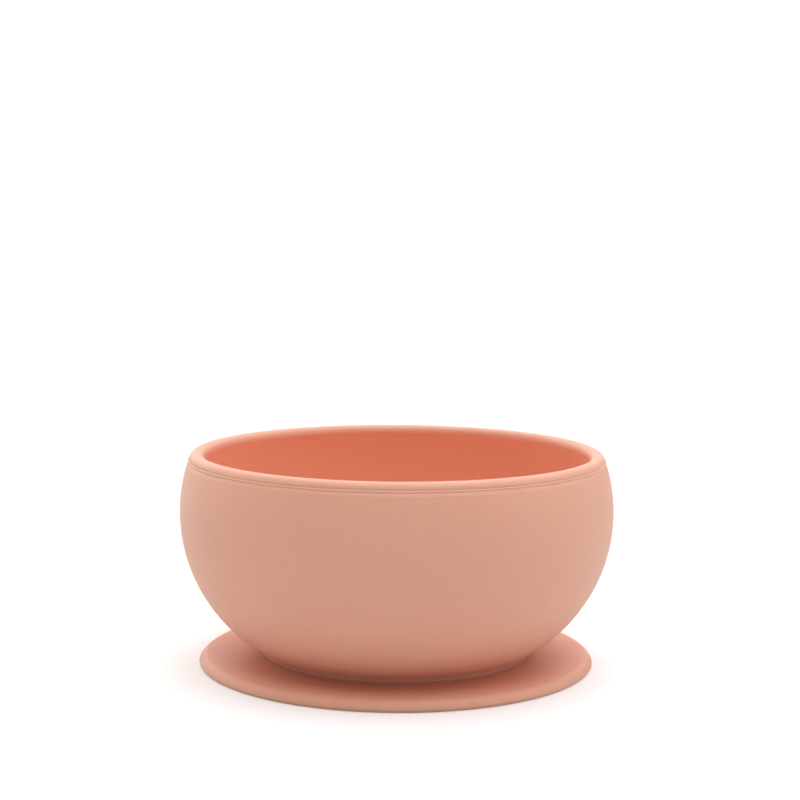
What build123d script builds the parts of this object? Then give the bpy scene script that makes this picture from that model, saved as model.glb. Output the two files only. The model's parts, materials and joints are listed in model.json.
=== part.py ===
"""Suction bowl: a round silicone bowl bonded to a flexible suction disc with a release tab.

Millimetres, +Z up. The origin is on the table, on the axis of the bowl; the tab points to +Y.
Each function makes one moulding as a closed solid, and main() writes each to its own STEP file.
"""

import math
import os

from build123d import *

# ---- Driving sizes -------------------------------------------------------------------------

# Bowl
BOWL_RADIUS = 62.5  # greatest outer radius, at the belly
BOWL_HEIGHT = 61.65  # table to the top of the lip
BELLY_HEIGHT = 44.4  # table to the greatest radius
WALL = 4.2  # side wall and lip; the lip is a full round of this thickness
FOOT_RADIUS = 38.8  # where the wall's curve meets the foot ring
FOOT_DEPTH = 1.35  # foot ring, from the wall's curve down to the disc
FOOT_RING_WIDTH = 5.0  # bonded face under the foot ring
FLOOR = 4.2  # bowl floor above the spigot recess
FLOOR_CORNER = 15.0  # inside corner between floor and wall
FLOOR_RISE = 0.5  # least height of the floor above the lowest point of the wall's inner arc
RIDGE_PROUD = 0.15  # parting ridge, above the wall's surface
RIDGE_DROP = 1.05  # parting ridge, below the wall's tangent point with the lip

# Suction disc
DISC_RADIUS = 57.05
DISC_THICKNESS = 2.85
EDGE_UNDERCUT = 0.9  # lower round of the disc's edge; the bevel takes the rest
BEVEL_WIDTH = 2.15  # upper side of the disc's edge
BEVEL_CROWN = 3.6  # radius that the bevel is crowned to
LAND_WIDTH = 7.0  # flat sealing face that touches the table
DISH_DEPTH = 1.4  # hollow under the disc
DISH_SLOPE = 6.0  # width of the slope between the land and the dish's roof
SPIGOT_HEIGHT = 0.9  # boss that centres the foot ring

# Release tab
TAB_WIDTH = 16.0
TAB_REACH = 5.2  # beyond the disc's edge
TAB_THICKNESS = 1.5
TAB_GROUND_GAP = 0.5  # room for a fingernail under the tab
TAB_ROOT = 1.0  # length of the root let into the disc's edge
TAB_CORNER = 4.0

# Clearances
SPIGOT_GAP = 0.15  # glue gap around and over the spigot
TAB_SIDE_GAP = 0.3

# ---- Sizes that follow ---------------------------------------------------------------------

FOOT_BASE = DISC_THICKNESS
FOOT_TOP = FOOT_BASE + FOOT_DEPTH
RECESS_ROOF = FOOT_BASE + SPIGOT_HEIGHT + SPIGOT_GAP
RECESS_RADIUS = FOOT_RADIUS - FOOT_RING_WIDTH


def wall_centre_radius():
    """Centre of the wall's arc: upright at the belly and passing through the top of the foot."""
    rise = BELLY_HEIGHT - FOOT_TOP
    return (BOWL_RADIUS**2 - FOOT_RADIUS**2 - rise**2) / (2 * (BOWL_RADIUS - FOOT_RADIUS))


def point_at(centre, radius, angle):
    """Point on a circle of the section, at an angle in degrees from the +X direction."""
    turn = math.radians(angle)
    return (centre[0] + radius * math.cos(turn), centre[1] + radius * math.sin(turn))


def turned(outline):
    """Solid of revolution about Z, from the closed outline of its half section."""
    return revolve(Plane.XZ * make_face(outline), Axis.Z)


def make_bowl():
    """Bowl: one arc outside, a parallel arc inside, a full-round lip, a foot ring and its recess."""
    centre = (wall_centre_radius(), BELLY_HEIGHT)
    outer = BOWL_RADIUS - centre[0]
    inner = outer - WALL
    middle = outer - WALL / 2

    foot_angle = -math.degrees(math.asin((BELLY_HEIGHT - FOOT_TOP) / outer))
    lip_angle = math.degrees(math.asin((BOWL_HEIGHT - WALL / 2 - BELLY_HEIGHT) / middle))
    lip_centre = point_at(centre, middle, lip_angle)
    lip_outer = point_at(centre, outer, lip_angle)
    lip_inner = point_at(centre, inner, lip_angle)
    lip_crown = point_at(lip_centre, WALL / 2, lip_angle + 90)

    # The floor is thicker than FLOOR only on a bowl so wide that its wall would not reach down to it.
    floor_height = max(RECESS_ROOF + FLOOR, BELLY_HEIGHT - inner + FLOOR_RISE)

    # The floor's corner touches the flat floor and the inside of the wall.
    corner_height = floor_height + FLOOR_CORNER
    corner_drop = BELLY_HEIGHT - corner_height
    corner_span = inner - FLOOR_CORNER
    corner = (centre[0] + math.sqrt(corner_span**2 - corner_drop**2), corner_height)
    corner_angle = -math.degrees(math.asin(corner_drop / corner_span))
    corner_end = point_at(centre, inner, corner_angle)
    corner_middle = point_at(corner, FLOOR_CORNER, (corner_angle - 90) / 2)

    foot_outer = point_at(centre, outer, foot_angle)
    belly = (BOWL_RADIUS, BELLY_HEIGHT)
    inside_belly = (BOWL_RADIUS - WALL, BELLY_HEIGHT)

    foot = Polyline(
        (0, floor_height),
        (0, RECESS_ROOF),
        (RECESS_RADIUS, RECESS_ROOF),
        (RECESS_RADIUS, FOOT_BASE),
        (FOOT_RADIUS, FOOT_BASE),
        foot_outer,
    )
    outside = ThreePointArc(foot_outer, belly, lip_outer)
    lip = ThreePointArc(lip_outer, lip_crown, lip_inner)
    inside = ThreePointArc(lip_inner, inside_belly, corner_end)
    floor_corner = ThreePointArc(corner_end, corner_middle, (corner[0], floor_height))
    floor = Line((corner[0], floor_height), (0, floor_height))
    body = turned([foot, outside, lip, inside, floor_corner, floor])
    return body + make_ridge(centre, outer, lip_outer[1] - RIDGE_DROP)


def make_ridge(centre, wall_radius, height):
    """Parting ridge: a fine bead round the wall, half sunk in its surface."""
    angle = math.degrees(math.asin((height - centre[1]) / wall_radius))
    bead = Pos(*point_at(centre, wall_radius, angle)) * Circle(RIDGE_PROUD)
    return revolve(Plane.XZ * bead, Axis.Z)


def make_suction_disc():
    """Disc with a bevelled edge, a flat land, a shallow dish under it, a spigot and the tab's notch."""
    bevel_inner = DISC_RADIUS - BEVEL_WIDTH
    land_outer = DISC_RADIUS - EDGE_UNDERCUT
    land_inner = land_outer - LAND_WIDTH
    dish_radius = land_inner - DISH_SLOPE
    # The slope is two equal arcs, level at both ends.
    slope_radius = (DISH_SLOPE**2 + DISH_DEPTH**2) / (4 * DISH_DEPTH)
    slope_middle = ((dish_radius + land_inner) / 2, DISH_DEPTH / 2)
    spigot_radius = RECESS_RADIUS - SPIGOT_GAP
    spigot_top = DISC_THICKNESS + SPIGOT_HEIGHT

    roof = Line((0, DISH_DEPTH), (dish_radius, DISH_DEPTH))
    upper_slope = RadiusArc((dish_radius, DISH_DEPTH), slope_middle, slope_radius)
    lower_slope = RadiusArc(slope_middle, (land_inner, 0), -slope_radius)
    land = Line((land_inner, 0), (land_outer, 0))
    lower_edge = RadiusArc((land_outer, 0), (DISC_RADIUS, EDGE_UNDERCUT), -EDGE_UNDERCUT)
    bevel = RadiusArc((DISC_RADIUS, EDGE_UNDERCUT), (bevel_inner, DISC_THICKNESS), -BEVEL_CROWN)
    top = Polyline(
        (bevel_inner, DISC_THICKNESS),
        (spigot_radius, DISC_THICKNESS),
        (spigot_radius, spigot_top),
        (0, spigot_top),
        (0, DISH_DEPTH),
    )
    disc = turned([roof, upper_slope, lower_slope, land, lower_edge, bevel, top])
    return disc - make_tab_notch()


def make_tab_notch():
    """Space in the disc's edge for the tab's root, open above, below and outward."""
    width = TAB_WIDTH + 2 * TAB_SIDE_GAP
    reach = TAB_ROOT + TAB_REACH
    notch = Box(width, reach, DISC_THICKNESS, align=(Align.CENTER, Align.MIN, Align.MIN))
    return Pos(0, tab_root(), 0) * notch


def tab_root():
    """Distance from the axis to the flat face that the tab bends at."""
    return DISC_RADIUS - TAB_ROOT


def make_release_tab():
    """Tab with rounded outer corners; its root face meets the floor of the disc's notch."""
    root = tab_root()
    tip = DISC_RADIUS + TAB_REACH
    plan = Pos(0, root) * Rectangle(TAB_WIDTH, tip - root, align=(Align.CENTER, Align.MIN))
    outer_corners = plan.vertices().group_by(Axis.Y)[-1]
    plan = fillet(outer_corners, TAB_CORNER)
    return Pos(0, 0, TAB_GROUND_GAP) * extrude(plan, TAB_THICKNESS)


def main():
    """Makes every moulding and writes one STEP file for each."""
    os.makedirs("parts", exist_ok=True)
    mouldings = {
        "bowl": make_bowl(),
        "suction_disc": make_suction_disc(),
        "release_tab": make_release_tab(),
    }
    for name, solid in mouldings.items():
        export_step(solid, f"parts/{name}.step")


main()
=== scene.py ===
"""Suction bowl: the finished look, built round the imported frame.

Three pieces of one matte silicone: the bowl, the suction disc that it is bonded to, and the small
release tab on the disc's edge. All sizes are metres, in the frame's own axes: +Z up, tab to +Y.
"""

import json
import logging
import math
from dataclasses import dataclass
from enum import Enum

import bmesh
import bpy
from mathutils import Matrix, Vector


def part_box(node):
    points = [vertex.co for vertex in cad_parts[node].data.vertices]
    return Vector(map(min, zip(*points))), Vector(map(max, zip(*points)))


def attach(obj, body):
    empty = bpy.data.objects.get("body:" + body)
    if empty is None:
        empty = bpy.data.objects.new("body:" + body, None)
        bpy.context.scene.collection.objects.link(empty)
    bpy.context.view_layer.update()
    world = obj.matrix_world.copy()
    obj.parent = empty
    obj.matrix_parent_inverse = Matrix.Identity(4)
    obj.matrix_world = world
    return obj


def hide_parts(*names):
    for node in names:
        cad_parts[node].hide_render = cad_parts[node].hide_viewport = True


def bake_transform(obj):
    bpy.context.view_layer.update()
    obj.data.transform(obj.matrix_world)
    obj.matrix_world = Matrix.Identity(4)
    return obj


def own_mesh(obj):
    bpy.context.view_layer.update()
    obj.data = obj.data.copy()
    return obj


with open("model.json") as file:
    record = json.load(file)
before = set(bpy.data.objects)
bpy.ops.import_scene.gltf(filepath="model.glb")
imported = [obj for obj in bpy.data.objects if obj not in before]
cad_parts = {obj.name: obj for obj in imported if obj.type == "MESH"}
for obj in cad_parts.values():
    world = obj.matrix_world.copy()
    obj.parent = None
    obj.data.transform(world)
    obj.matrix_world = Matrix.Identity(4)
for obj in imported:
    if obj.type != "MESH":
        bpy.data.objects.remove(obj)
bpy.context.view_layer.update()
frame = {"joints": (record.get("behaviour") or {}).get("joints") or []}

MM = 0.001
ROUND_PARTS = 288  # faces round every turned piece
EDGE_LENGTH = 1.5 * MM  # longest edge of an outline
ARC_STEP = 6.5  # largest turn, in degrees, between two edges of an arc
CORNER_PARTS = 4  # edges across a softened corner
WELD_DISTANCE = 1e-6

log = logging.getLogger("suction_bowl")

Colour = tuple[float, float, float]
Point = tuple[float, float]

FLASH_HIGHLIGHT_PIGMENT: Colour = (0.980, 0.600, 0.450)  # the parting ridge: its thin flash's own paleness plus a painted highlight
FLASH_HIGHLIGHT_PALE: Colour = (0.990, 0.640, 0.490)
POLISHED_ROUGHNESS = 0.25  # the sealing face under the disc
NOISE_MEAN = 0.5
PRESS_JOINT = "cup_press"


class Body(Enum):
    """The moving bodies of the frame."""

    DISC = "suction_disc"
    BOWL = "bowl"
    TAB = "release_tab"


class Slot(Enum):
    """The record's material slots."""

    BOWL = "bowl_silicone"
    DISC = "disc_silicone"


class Plane(Enum):
    """The plane that a pen draws in; its value is the axis that arcs turn about, anticlockwise."""

    SECTION = (0.0, -1.0, 0.0)
    PLAN = (0.0, 0.0, 1.0)


# ---- Shader maths --------------------------------------------------------------------------


@dataclass(frozen=True)
class Value:
    """One output of a shader's nodes; sums on it add Math nodes."""

    shader: "Shader"
    socket: bpy.types.NodeSocket | None

    def _math(self, operation: str, first: "Value | float", second: "Value | float") -> "Value":
        """Adds one Math node.

        Args:
            operation: The Math node's operation.
            first: Left-hand number.
            second: Right-hand number.

        Returns:
            The node's result.
        """
        return self.shader.node(
            "ShaderNodeMath", {"operation": operation}, {0: first, 1: second}, "Value"
        )

    def __add__(self, other: "Value | float") -> "Value":
        """self + other."""
        return self._math("ADD", self, other)

    def __radd__(self, other: float) -> "Value":
        """other + self."""
        return self._math("ADD", other, self)

    def __sub__(self, other: "Value | float") -> "Value":
        """self - other."""
        return self._math("SUBTRACT", self, other)

    def __rsub__(self, other: float) -> "Value":
        """other - self."""
        return self._math("SUBTRACT", other, self)

    def __mul__(self, other: "Value | float") -> "Value":
        """self * other."""
        return self._math("MULTIPLY", self, other)

    def __rmul__(self, other: float) -> "Value":
        """other * self."""
        return self._math("MULTIPLY", other, self)


class Shader:
    """A material's or the world's node tree, filled node by node."""

    def __init__(self, tree: bpy.types.NodeTree) -> None:
        """Clears the tree, to start from nothing."""
        self.tree = tree
        tree.nodes.clear()

    def node(
        self,
        kind: str,
        settings: dict[str, object],
        inputs: dict[str | int, object],
        output: str | int = 0,
    ) -> Value:
        """Adds one node.

        Args:
            kind: The node's type.
            settings: Properties of the node, set before its sockets.
            inputs: Values or links, by socket name or number.
            output: The output to hand back.

        Returns:
            That output, wrapped.
        """
        made = self.tree.nodes.new(kind)
        for name, setting in settings.items():
            setattr(made, name, setting)
        for name, value in inputs.items():
            if isinstance(value, Value):
                self.tree.links.new(value.socket, made.inputs[name])
            else:
                made.inputs[name].default_value = value
        if not made.outputs:
            return Value(self, None)
        return Value(self, made.outputs[output])


# ---- Finish --------------------------------------------------------------------------------


@dataclass(frozen=True)
class Silicone:
    """Moulded silicone: an even, slightly cloudy pigment, a fine grain and a faint bloom."""

    name: str
    pigment: Colour = (0.914, 0.464, 0.327)
    pale: Colour = (0.934, 0.490, 0.351)
    roughness: float = 0.48
    roughness_spread: float = 0.06
    refraction: float = 1.42
    sheen: float = 0.08
    sheen_roughness: float = 0.5
    depth: float = 0.25
    depth_size: float = 2.0 * MM
    depth_colour: Colour = (1.0, 0.3, 0.15)
    cloud_size: float = 14.0 * MM
    cloud_octaves: float = 2.0
    bloom_size: float = 3.5 * MM
    bloom_octaves: float = 3.0
    bloom_share: float = 0.4
    grain_size: float = 0.35 * MM
    grain_octaves: float = 1.0
    grain_height: float = 0.004 * MM

    def material(self) -> bpy.types.Material:
        """Builds the material.

        Returns:
            The material, on Object coordinates.
        """
        made = bpy.data.materials.new(self.name)
        made.use_nodes = True
        shader = Shader(made.node_tree)
        place = shader.node("ShaderNodeTexCoord", {}, {}, "Object")
        cloud = self._noise(shader, place, self.cloud_size, self.cloud_octaves)
        bloom = self._noise(shader, place, self.bloom_size, self.bloom_octaves)
        grain = self._noise(shader, place, self.grain_size, self.grain_octaves)

        paleness = cloud * (1.0 - self.bloom_share) + bloom * self.bloom_share
        colour = shader.node(
            "ShaderNodeMix",
            {"data_type": "RGBA"},
            {"Factor": paleness, "A": (*self.pigment, 1.0), "B": (*self.pale, 1.0)},
            "Result",
        )
        roughness = self.roughness + (bloom - NOISE_MEAN) * self.roughness_spread
        normal = shader.node(
            "ShaderNodeBump",
            {},
            {"Strength": 1.0, "Distance": self.grain_height, "Height": grain},
            "Normal",
        )
        surface = shader.node(
            "ShaderNodeBsdfPrincipled",
            {},
            {
                "Base Color": colour,
                "Roughness": roughness,
                "IOR": self.refraction,
                "Subsurface Weight": self.depth,
                "Subsurface Scale": self.depth_size,
                "Subsurface Radius": self.depth_colour,
                "Sheen Weight": self.sheen,
                "Sheen Roughness": self.sheen_roughness,
                "Normal": normal,
            },
            "BSDF",
        )
        shader.node("ShaderNodeOutputMaterial", {}, {"Surface": surface})
        return made

    @staticmethod
    def _noise(shader: Shader, place: Value, size: float, octaves: float) -> Value:
        """Adds a noise of a given feature size.

        Args:
            shader: The shader to add it to.
            place: The coordinates.
            size: Size of a feature, in metres.
            octaves: Layers of finer noise on top.

        Returns:
            The noise, from 0 to 1.
        """
        inputs = {"Vector": place, "Scale": 1.0 / size, "Detail": octaves}
        return shader.node("ShaderNodeTexNoise", {}, inputs, "Fac")


@dataclass(frozen=True)
class Paper:
    """The floor's white paper, lifted to a clean white where it is seen."""

    name: str = "floor_paper"
    grey: float = 0.78
    lift: float = 0.3

    def material(self) -> bpy.types.Material:
        """Builds the material.

        Returns:
            A matte white, whose glow is seen but lights nothing.
        """
        made = bpy.data.materials.new(self.name)
        made.use_nodes = True
        shader = Shader(made.node_tree)
        grey = (self.grey, self.grey, self.grey, 1.0)
        paper = shader.node("ShaderNodeBsdfDiffuse", {}, {"Color": grey}, "BSDF")
        seen = shader.node("ShaderNodeLightPath", {}, {}, "Is Camera Ray")
        glow = shader.node("ShaderNodeEmission", {}, {"Strength": seen * self.lift}, "Emission")
        surface = shader.node("ShaderNodeAddShader", {}, {0: paper, 1: glow}, "Shader")
        shader.node("ShaderNodeOutputMaterial", {}, {"Surface": surface})
        return made


# ---- Drawing and turning -------------------------------------------------------------------


class Pen:
    """Draws a chain of edges, of straight lines and arcs, in one plane."""

    def __init__(self, plane: Plane, start: Point) -> None:
        """Puts the pen down.

        Args:
            plane: The plane to draw in.
            start: The first point.
        """
        self.plane = plane
        self.mesh = bmesh.new()
        self.tip = self.mesh.verts.new(self._place(start))
        self.softened: list[Vector] = []

    def _place(self, point: Point) -> Vector:
        """Places a point of the drawing in space.

        Args:
            point: The point, in the pen's plane.

        Returns:
            Its place.
        """
        if self.plane is Plane.SECTION:
            return Vector((point[0], 0.0, point[1]))
        return Vector((point[0], point[1], 0.0))

    def line(self, end: Point) -> None:
        """Draws a straight line.

        Args:
            end: Its far end.
        """
        way = self._place(end) - self.tip.co
        parts = math.ceil(way.length / EDGE_LENGTH)
        for _ in range(parts):
            self.tip = bmesh.ops.extrude_vert_indiv(self.mesh, verts=[self.tip])["verts"][0]
            bmesh.ops.translate(self.mesh, verts=[self.tip], vec=way / parts)

    def arc(self, centre: Point, degrees: float) -> None:
        """Draws an arc from the tip.

        Args:
            centre: Its centre.
            degrees: Its angle, anticlockwise positive.
        """
        middle = self._place(centre)
        angle = math.radians(degrees)
        length = (self.tip.co - middle).length * abs(angle)
        spun = bmesh.ops.spin(
            self.mesh,
            geom=[self.tip],
            cent=middle,
            axis=self.plane.value,
            angle=angle,
            steps=math.ceil(max(length / EDGE_LENGTH, abs(degrees) / ARC_STEP)),
            use_merge=False,
            use_duplicate=False,
        )
        self.tip = next(g for g in spun["geom_last"] if isinstance(g, bmesh.types.BMVert))

    def soften(self) -> None:
        """Marks the tip as a corner to round."""
        self.softened.append(self.tip.co.copy())

    def round_corners(self, size: float) -> None:
        """Rounds the marked corners.

        Args:
            size: Length that each round takes from the edges beside it.
        """
        corners = [
            vertex
            for vertex in self.mesh.verts
            if any((vertex.co - corner).length < WELD_DISTANCE for corner in self.softened)
        ]
        bmesh.ops.bevel(
            self.mesh,
            geom=corners,
            offset=size,
            affect="VERTICES",
            segments=CORNER_PARTS,
            profile=0.5,
            material=-1,
        )

    def turned(self) -> bmesh.types.BMesh:
        """Turns the drawing about Z.

        Returns:
            The closed skin, with its seam and poles welded and its faces outward.
        """
        bmesh.ops.spin(
            self.mesh,
            geom=self.mesh.verts[:] + self.mesh.edges[:],
            cent=(0.0, 0.0, 0.0),
            axis=(0.0, 0.0, 1.0),
            angle=math.tau,
            steps=ROUND_PARTS,
            use_merge=True,
            use_duplicate=False,
        )
        return weld(self.mesh)


def weld(mesh: bmesh.types.BMesh) -> bmesh.types.BMesh:
    """Closes a skin's doubles and turns its faces outward.

    Args:
        mesh: The skin.

    Returns:
        The same skin.
    """
    bmesh.ops.remove_doubles(mesh, verts=mesh.verts[:], dist=WELD_DISTANCE)
    bmesh.ops.dissolve_degenerate(mesh, edges=mesh.edges[:], dist=WELD_DISTANCE)
    bmesh.ops.recalc_face_normals(mesh, faces=mesh.faces[:])
    return mesh


def on_circle(centre: Point, radius: float, degrees: float) -> Point:
    """Point of a circle at an angle, anticlockwise from the first axis."""
    turn = math.radians(degrees)
    return (centre[0] + radius * math.cos(turn), centre[1] + radius * math.sin(turn))


def crown(start: Point, end: Point, radius: float) -> tuple[Point, float]:
    """Arc from one point to another that bulges to the right of the way there.

    Args:
        start: Its first point.
        end: Its last point.
        radius: Its radius.

    Returns:
        Its centre, and its angle in degrees.
    """
    run, rise = end[0] - start[0], end[1] - start[1]
    chord = math.hypot(run, rise)
    half_angle = math.asin(chord / 2 / radius)
    away = radius * math.cos(half_angle) / chord
    centre = ((start[0] + end[0]) / 2 - rise * away, (start[1] + end[1]) / 2 + run * away)
    return centre, 2 * math.degrees(half_angle)


def make_piece(name: str, mesh: bmesh.types.BMesh, material: bpy.types.Material) -> bpy.types.Object:
    """Makes an object of a finished skin.

    Args:
        name: The piece's name.
        mesh: Its skin, which is freed.
        material: Its material.

    Returns:
        The object, at the origin.
    """
    for face in mesh.faces:
        face.smooth = True
    data = bpy.data.meshes.new(name)
    mesh.to_mesh(data)
    mesh.free()
    data.materials.append(material)
    made = bpy.data.objects.new(name, data)
    bpy.context.scene.collection.objects.link(made)
    return made


def report(piece: bpy.types.Object) -> None:
    """Logs a piece's name and number of faces."""
    log.info("%s: %d faces", piece.name, len(piece.data.polygons))


# ---- Bowl ----------------------------------------------------------------------------------


@dataclass
class Bowl:
    """The bowl: a wall of one thickness on one arc, a full-round lip, a floor and a foot ring."""

    radius: float
    height: float
    base: float
    belly_height: float = 44.4 * MM
    wall: float = 4.2 * MM
    foot_radius: float = 38.8 * MM
    foot_depth: float = 1.35 * MM
    foot_ring_width: float = 5.0 * MM
    foot_round: float = 0.2 * MM
    bond_height: float = 0.75 * MM
    bond_radius: float = 0.14 * MM
    recess_depth: float = 1.05 * MM
    floor: float = 4.2 * MM
    floor_corner: float = 15.0 * MM
    ridge_drop: float = 0.86 * MM
    ridge_radius: float = 0.15 * MM
    groove_radius: float = 0.045 * MM

    @classmethod
    def in_frame(cls) -> "Bowl":
        """Takes the overall sizes from the frame.

        Returns:
            The bowl.
        """
        low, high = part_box("bowl")
        return cls(radius=high.x, height=high.z, base=low.z)

    def _wall_centre(self) -> Point:
        """Finds the arc that is upright at the belly and passes through the top of the foot.

        Returns:
            The arc's centre, in the half section.
        """
        rise = self.belly_height - self.base - self.foot_depth
        squares = self.radius**2 - self.foot_radius**2 - rise**2
        return (squares / (2 * (self.radius - self.foot_radius)), self.belly_height)

    def build(self, material: bpy.types.Material, flash_highlight: bpy.types.Material) -> bpy.types.Object:
        """Turns the bowl from its half section.

        Args:
            material: Its silicone.
            flash_highlight: The finish of its parting ridge, paler from its thin flash and from a painted
                highlight.

        Returns:
            The bowl's skin.
        """
        centre = self._wall_centre()
        outer = self.radius - centre[0]
        inner = outer - self.wall
        middle = outer - self.wall / 2
        roof = self.base + self.recess_depth
        floor_top = roof + self.floor
        recess_radius = self.foot_radius - self.foot_ring_width

        foot_drop = centre[1] - self.base - self.foot_depth
        foot_angle = -math.degrees(math.asin(foot_drop / outer))
        lip_rise = self.height - self.wall / 2 - centre[1]
        lip_angle = math.degrees(math.asin(lip_rise / middle))
        lip_centre = on_circle(centre, middle, lip_angle)

        corner_drop = centre[1] - floor_top - self.floor_corner
        corner_span = inner - self.floor_corner
        corner = (
            centre[0] + math.sqrt(corner_span**2 - corner_drop**2),
            floor_top + self.floor_corner,
        )
        corner_angle = -math.degrees(math.asin(corner_drop / corner_span))

        ridge_height = lip_centre[1] + self.wall / 2 * math.sin(math.radians(lip_angle))
        ridge_height -= self.ridge_drop
        ridge_angle = math.degrees(math.asin((ridge_height - centre[1]) / outer))
        ridge_half = math.degrees(self.ridge_radius / outer)
        groove_half = math.degrees(self.groove_radius / outer)
        ridge = on_circle(centre, outer, ridge_angle)
        groove_offset = ridge_half + groove_half
        lower_groove = on_circle(centre, outer, ridge_angle - groove_offset)
        upper_groove = on_circle(centre, outer, ridge_angle + groove_offset)
        ridge_span = groove_offset + groove_half

        bond = (self.foot_radius, self.base + self.bond_height)

        pen = Pen(Plane.SECTION, (0.0, roof))
        pen.line((recess_radius, roof))
        pen.line((recess_radius, self.base))
        pen.line((self.foot_radius - self.foot_round, self.base))
        pen.arc((self.foot_radius - self.foot_round, self.base + self.foot_round), 90)
        pen.line((self.foot_radius, bond[1] - self.bond_radius))
        pen.arc(bond, 180)
        pen.line(on_circle(centre, outer, foot_angle))
        pen.arc(centre, ridge_angle - ridge_span - foot_angle)
        pen.arc(lower_groove, -180)
        pen.arc(ridge, 180)
        pen.arc(upper_groove, -180)
        pen.arc(centre, lip_angle - ridge_angle - ridge_span)
        pen.arc(lip_centre, 180)
        pen.arc(centre, corner_angle - lip_angle)
        pen.arc(corner, -90 - corner_angle)
        pen.line((0.0, floor_top))
        skin = make_piece("bowl_skin", pen.turned(), material)
        # The parting ridge gets a paler pigment: a painted highlight on top of its thin flash's paleness.
        self._paint_ridge_highlight(skin, ridge, flash_highlight)
        return skin

    def _paint_ridge_highlight(self, skin: bpy.types.Object, ridge: Point, flash_highlight: bpy.types.Material) -> None:
        """Gives the parting ridge a paler finish: its thin flash's own paleness plus a painted highlight.

        Args:
            skin: The bowl's skin.
            ridge: Middle of the ridge, in the half section.
            flash_highlight: The paler finish, the thin flash's paleness plus a painted highlight.
        """
        skin.data.materials.append(flash_highlight)
        for face in skin.data.polygons:
            place = (math.hypot(face.center.x, face.center.y), face.center.z)
            if math.dist(place, ridge) < self.ridge_radius + WELD_DISTANCE:
                face.material_index = 1

    def dress(self, skin: bpy.types.Object) -> None:
        """Puts the skin in the frame.

        Args:
            skin: The bowl's skin.
        """
        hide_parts("bowl")
        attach(skin, Body.BOWL.value)
        report(skin)


# ---- Suction disc --------------------------------------------------------------------------


@dataclass
class SuctionDisc:
    """The disc: bevelled edge, flat sealing land, shallow dish underneath and a spigot on top."""

    radius: float
    spigot_top: float
    thickness: float
    lower_round: float = 0.9 * MM
    bevel_width: float = 2.15 * MM
    bevel_crown: float = 3.6 * MM
    softness: float = 0.35 * MM
    land_width: float = 7.0 * MM
    dish_depth: float = 1.4 * MM
    dish_slope: float = 6.0 * MM
    spigot_radius: float = 33.65 * MM

    @classmethod
    def in_frame(cls) -> "SuctionDisc":
        """Takes the overall sizes from the frame.

        Returns:
            The disc; its top is where the bowl's foot stands.
        """
        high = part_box("suction_disc")[1]
        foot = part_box("bowl")[0]
        return cls(radius=high.x, spigot_top=high.z, thickness=foot.z)

    def build(self, material: bpy.types.Material, polished: bpy.types.Material) -> bpy.types.Object:
        """Turns the disc from its half section.

        Args:
            material: Its silicone.
            polished: The finish of its sealing face.

        Returns:
            The disc's skin.
        """
        bevel_inner = self.radius - self.bevel_width
        land_outer = self.radius - self.lower_round
        land_inner = land_outer - self.land_width
        dish_radius = land_inner - self.dish_slope
        # The slope is two equal arcs, level at both ends.
        slope_radius = (self.dish_slope**2 + self.dish_depth**2) / (4 * self.dish_depth)
        slope_angle = 2 * math.degrees(math.atan(self.dish_depth / self.dish_slope))
        bevel_start = (self.radius, self.lower_round)
        bevel_centre, bevel_angle = crown(bevel_start, (bevel_inner, self.thickness), self.bevel_crown)

        pen = Pen(Plane.SECTION, (0.0, self.dish_depth))
        pen.line((dish_radius, self.dish_depth))
        pen.arc((dish_radius, self.dish_depth - slope_radius), -slope_angle)
        pen.arc((land_inner, slope_radius), slope_angle)
        pen.line((land_outer, 0.0))
        pen.arc((land_outer, self.lower_round), 90)
        pen.soften()
        pen.arc(bevel_centre, bevel_angle)
        pen.soften()
        pen.line((self.spigot_radius, self.thickness))
        pen.line((self.spigot_radius, self.spigot_top))
        pen.line((0.0, self.spigot_top))
        pen.round_corners(self.softness)
        skin = make_piece("disc_skin", pen.turned(), material)
        self._polish(skin, polished)
        return skin

    def _polish(self, skin: bpy.types.Object, polished: bpy.types.Material) -> None:
        """Gives the sealing face under the disc its polished finish.

        Args:
            skin: The disc's skin.
            polished: The finish.
        """
        skin.data.materials.append(polished)
        land_outer = self.radius - self.lower_round
        for face in skin.data.polygons:
            away = math.hypot(face.center.x, face.center.y)
            under = face.center.z < self.dish_depth + WELD_DISTANCE
            if under and away < land_outer:
                face.material_index = 1

    def dress(self, skin: bpy.types.Object) -> None:
        """Puts the skin in the frame, on the disc's body.

        Args:
            skin: The disc's skin.
        """
        press = next(j for j in frame["joints"] if j["name"] == PRESS_JOINT)
        keep = 1.0 + press["range_m"][0] / self.thickness
        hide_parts("suction_disc")
        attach(skin, Body.DISC.value)
        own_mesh(skin)
        report(skin)


# ---- Release tab ---------------------------------------------------------------------------


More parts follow.
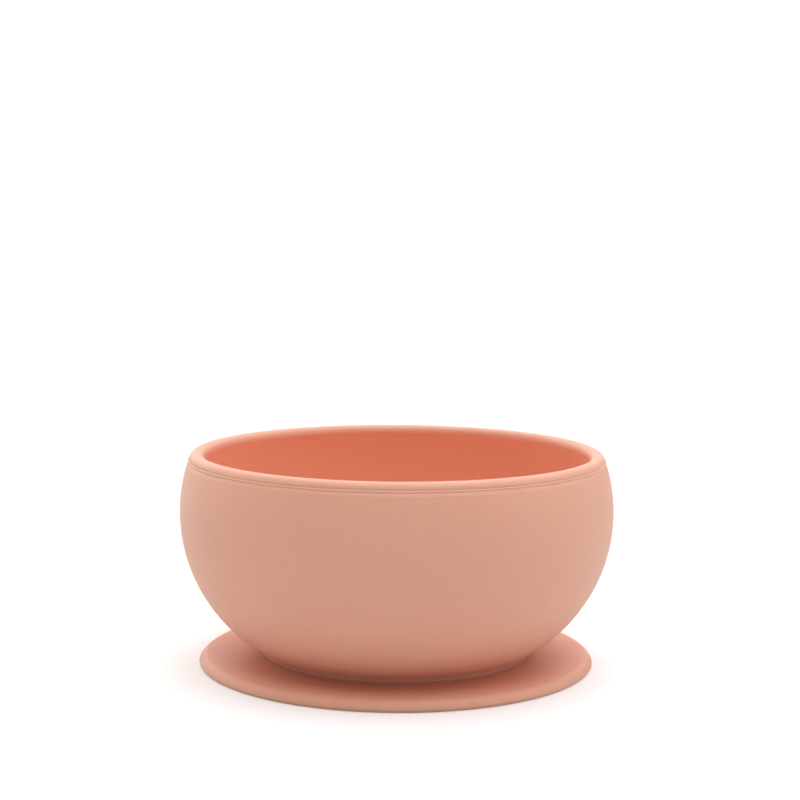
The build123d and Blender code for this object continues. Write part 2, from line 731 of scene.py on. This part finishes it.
@dataclass
class ReleaseTab:
    """The tab: a small tongue with a flared root, rounded corners and grip ribs."""

    half_width: float
    tip: float
    low: float
    top: float
    disc_radius: float
    corner: float = 4.0 * MM
    flare: float = 2.5 * MM
    flare_inset: float = 1.1 * MM
    root_depth: float = 1.0 * MM
    root_sink: float = 1.0 * MM
    edge_round: float = 0.5 * MM
    edge_parts: int = 4
    cut_spacing: float = 0.25 * MM
    ribs: int = 3
    rib_pitch: float = 1.2 * MM
    rib_width: float = 0.7 * MM
    rib_height: float = 0.3 * MM
    rib_side_gap: float = 3.0 * MM
    rib_tip_gap: float = 1.6 * MM
    bend_start: float = -0.4 * MM
    bend_end: float = 2.0 * MM

    @classmethod
    def in_frame(cls) -> "ReleaseTab":
        """Takes the sizes from the frame.

        Returns:
            The tab.
        """
        low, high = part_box("release_tab")
        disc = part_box("suction_disc")[1]
        return cls(half_width=high.x, tip=high.y, low=low.z, top=high.z, disc_radius=disc.x)

    def build(self, material: bpy.types.Material) -> bpy.types.Object:
        """Draws the tab's plan, gives it thickness, rounds it and raises its ribs.

        Args:
            material: Its silicone.

        Returns:
            The tab's skin.
        """
        mesh = self._plan()
        bmesh.ops.translate(mesh, verts=mesh.verts[:], vec=(0.0, 0.0, self.low))
        raised = bmesh.ops.extrude_face_region(mesh, geom=mesh.faces[:])
        lifted = [g for g in raised["geom"] if isinstance(g, bmesh.types.BMVert)]
        bmesh.ops.translate(mesh, verts=lifted, vec=(0.0, 0.0, self.top - self.low))
        rims = [e for e in mesh.edges if abs(e.verts[0].co.z - e.verts[1].co.z) < WELD_DISTANCE]
        bmesh.ops.bevel(
            mesh,
            geom=rims,
            offset=self.edge_round,
            affect="EDGES",
            segments=self.edge_parts,
            profile=0.5,
            material=-1,
        )
        self._cut(mesh)
        self._raise_ribs(mesh)
        self._sink_root(mesh)
        return make_piece("tab_skin", weld(mesh), material)

    def _flare_foot(self) -> float:
        """Distance from the axis at which the flares end, just inside the disc's edge."""
        return math.sqrt((self.disc_radius - self.flare_inset) ** 2 - (self.half_width + self.flare) ** 2)

    def _root(self) -> float:
        """Distance from the axis to the buried end of the root."""
        return self._flare_foot() - self.root_depth

    def _plan(self) -> bmesh.types.BMesh:
        """Draws the tab's plan on the table.

        Returns:
            One face.
        """
        side = self.half_width
        foot = side + self.flare
        flare_end = self._flare_foot() + self.flare
        corner_start = self.tip - self.corner
        root = self._root()
        pen = Pen(Plane.PLAN, (foot, root))
        pen.line((foot, self._flare_foot()))
        pen.arc((foot, flare_end), -90)
        pen.line((side, corner_start))
        pen.arc((side - self.corner, corner_start), 90)
        pen.line((self.corner - side, self.tip))
        pen.arc((self.corner - side, corner_start), 90)
        pen.line((-side, flare_end))
        pen.arc((-foot, flare_end), -90)
        pen.line((-foot, root))
        pen.line((foot, root))
        mesh = weld(pen.mesh)
        bmesh.ops.contextual_create(mesh, geom=mesh.edges[:])
        return mesh

    def _cut(self, mesh: bmesh.types.BMesh) -> None:
        """Cuts the skin into a fine grid, so that it can carry ribs.

        Args:
            mesh: The tab's skin.
        """
        reach = self.half_width + self.flare
        root = self._root()
        across = int(2 * reach / self.cut_spacing)
        along = int((self.tip - root) / self.cut_spacing)
        for number in range(1, across):
            point = (number * self.cut_spacing - reach, 0.0, 0.0)
            self._slice(mesh, point, (1.0, 0.0, 0.0))
        for number in range(1, along):
            point = (0.0, root + number * self.cut_spacing, 0.0)
            self._slice(mesh, point, (0.0, 1.0, 0.0))

    @staticmethod
    def _slice(
        mesh: bmesh.types.BMesh,
        point: tuple[float, float, float],
        normal: tuple[float, float, float],
    ) -> None:
        """Cuts every face along one plane.

        Args:
            mesh: The skin.
            point: A point of the plane.
            normal: The plane's direction.
        """
        geometry = mesh.verts[:] + mesh.edges[:] + mesh.faces[:]
        bmesh.ops.bisect_plane(mesh, geom=geometry, plane_co=point, plane_no=normal)

    def _raise_ribs(self, mesh: bmesh.types.BMesh) -> None:
        """Raises the grip ribs on the tab's top.

        Args:
            mesh: The tab's skin, already cut.
        """
        last = self.tip - self.rib_tip_gap
        half_length = self.half_width - self.rib_side_gap
        for vertex in mesh.verts:
            if vertex.co.z < self.top - WELD_DISTANCE:
                continue
            beyond = max(0.0, abs(vertex.co.x) - half_length)
            for number in range(self.ribs):
                middle = last - number * self.rib_pitch
                away = math.hypot(vertex.co.y - middle, beyond) / (self.rib_width / 2)
                if away < 1.0:
                    vertex.co.z += self.rib_height * math.cos(away * math.pi / 2) ** 2

    def _sink_root(self, mesh: bmesh.types.BMesh) -> None:
        """Thins the root inside the disc, so that it stays buried in it.

        Args:
            mesh: The tab's skin.
        """
        length = self.disc_radius - self._root()
        share = self.root_sink / (self.top - self.low)
        for vertex in mesh.verts:
            inside = max(0.0, self.disc_radius - vertex.co.y) / length
            vertex.co.z -= (vertex.co.z - self.low) * share * inside

    def dress(self, skin: bpy.types.Object) -> None:
        """Hides the frame's tab and bakes the skin's place into its mesh.

        Args:
            skin: The tab's skin.
        """
        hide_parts("release_tab")
        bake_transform(skin)
        report(skin)


# ---- Studio --------------------------------------------------------------------------------


@dataclass(frozen=True)
class SoftLight:
    """One broad, even light from far away."""

    name: str
    azimuth: float
    elevation: float
    spread: float
    strength: float

    def build(self) -> bpy.types.Object:
        """Adds the light.

        Returns:
            The light; azimuth 0 comes from +Y, 90 from +X.
        """
        lamp = bpy.data.lights.new(self.name, "SUN")
        lamp.angle = math.radians(self.spread)
        lamp.energy = self.strength
        made = bpy.data.objects.new(self.name, lamp)
        around = math.radians(self.azimuth)
        up = math.radians(self.elevation)
        source = Vector(
            (math.sin(around) * math.cos(up), math.cos(around) * math.cos(up), math.sin(up))
        )
        made.rotation_euler = source.to_track_quat("Z", "Y").to_euler()
        bpy.context.scene.collection.objects.link(made)
        return made


@dataclass(frozen=True)
class Studio:
    """The white room: a floor, a plain backdrop and a few broad lights."""

    floor_radius: float = 30.0
    floor_parts: int = 96
    backdrop: float = 1.05
    lights: tuple[SoftLight, ...] = (
        SoftLight("overhead_light", 0, 90, 60, 1.40),
        SoftLight("high_front_light", 180, 75, 40, 0.65),
        SoftLight("back_left_light", 315, 25, 60, 0.90),
        SoftLight("back_right_light", 45, 55, 70, 0.85),
        SoftLight("back_light", 0, 25, 60, 0.75),
        SoftLight("right_light", 90, 25, 60, 0.55),
        SoftLight("low_front_light", 180, 12, 50, 0.30),
        SoftLight("left_light", 270, 30, 60, 0.25),
    )

    def build(self) -> None:
        """Adds the floor, the lights and the backdrop."""
        mesh = bmesh.new()
        bmesh.ops.create_circle(mesh, cap_ends=True, radius=self.floor_radius, segments=self.floor_parts)
        floor = make_piece("floor", mesh, Paper().material())
        for light in self.lights:
            light.build()
        self._backdrop()

    def _backdrop(self) -> None:
        """Puts plain white behind everything; it is seen but lights nothing."""
        world = bpy.data.worlds.new("white_room")
        world.use_nodes = True
        shader = Shader(world.node_tree)
        seen = shader.node("ShaderNodeLightPath", {}, {}, "Is Camera Ray")
        light = shader.node(
            "ShaderNodeBackground",
            {},
            {"Color": (1.0, 1.0, 1.0, 1.0), "Strength": seen * self.backdrop},
            "Background",
        )
        shader.node("ShaderNodeOutputWorld", {}, {"Surface": light})
        bpy.context.scene.world = world


@dataclass(frozen=True)
class Camera:
    """The camera: in front of the bowl, a little above it and looking slightly down."""

    distance: float = 539.7 * MM
    height: float = 138.7 * MM
    pitch: float = 6.598
    yaw: float = 0.074
    roll: float = 0.42
    lens: float = 84.93
    sensor: float = 36.0
    nearest: float = 0.01
    farthest: float = 100.0

    def build(self) -> bpy.types.Object:
        """Adds the camera.

        Returns:
            The camera, made the scene's own.
        """
        data = bpy.data.cameras.new("camera")
        data.lens = self.lens
        data.sensor_width = self.sensor
        data.clip_start = self.nearest
        data.clip_end = self.farthest
        made = bpy.data.objects.new("camera", data)
        turn = Matrix.Rotation(math.radians(-self.yaw), 4, "Z")
        tilt = Matrix.Rotation(math.radians(90.0 - self.pitch), 4, "X")
        lean = Matrix.Rotation(math.radians(self.roll), 4, "Z")
        place = Matrix.Translation((0.0, -self.distance, self.height))
        made.matrix_world = place @ turn @ tilt @ lean
        bpy.context.scene.collection.objects.link(made)
        bpy.context.scene.camera = made
        return made


# ---- Whole ---------------------------------------------------------------------------------


def main() -> None:
    """Builds the bowl, its disc and its tab, then the studio."""
    logging.basicConfig(level=logging.INFO, format="%(name)s: %(message)s")
    bpy.context.scene.view_settings.view_transform = "Standard"
    Camera().build()
    bowl_silicone = Silicone("matte_bowl_silicone").material()
    disc_silicone = Silicone("matte_disc_silicone").material()
    sealing_silicone = Silicone(
        "polished_sealing_silicone", roughness=POLISHED_ROUGHNESS, grain_height=0.0
    ).material()
    # Paler pigment for the parting ridge: a painted highlight, plus the thin flash's own paleness.
    flash_highlight = Silicone("thin_flash_highlight_silicone", pigment=FLASH_HIGHLIGHT_PIGMENT, pale=FLASH_HIGHLIGHT_PALE).material()

    bowl = Bowl.in_frame()
    bowl.dress(bowl.build(bowl_silicone, flash_highlight))
    disc = SuctionDisc.in_frame()
    disc.dress(disc.build(disc_silicone, sealing_silicone))
    tab = ReleaseTab.in_frame()
    tab.dress(tab.build(disc_silicone))

    Studio().build()


if __name__ == "__main__":
    main()
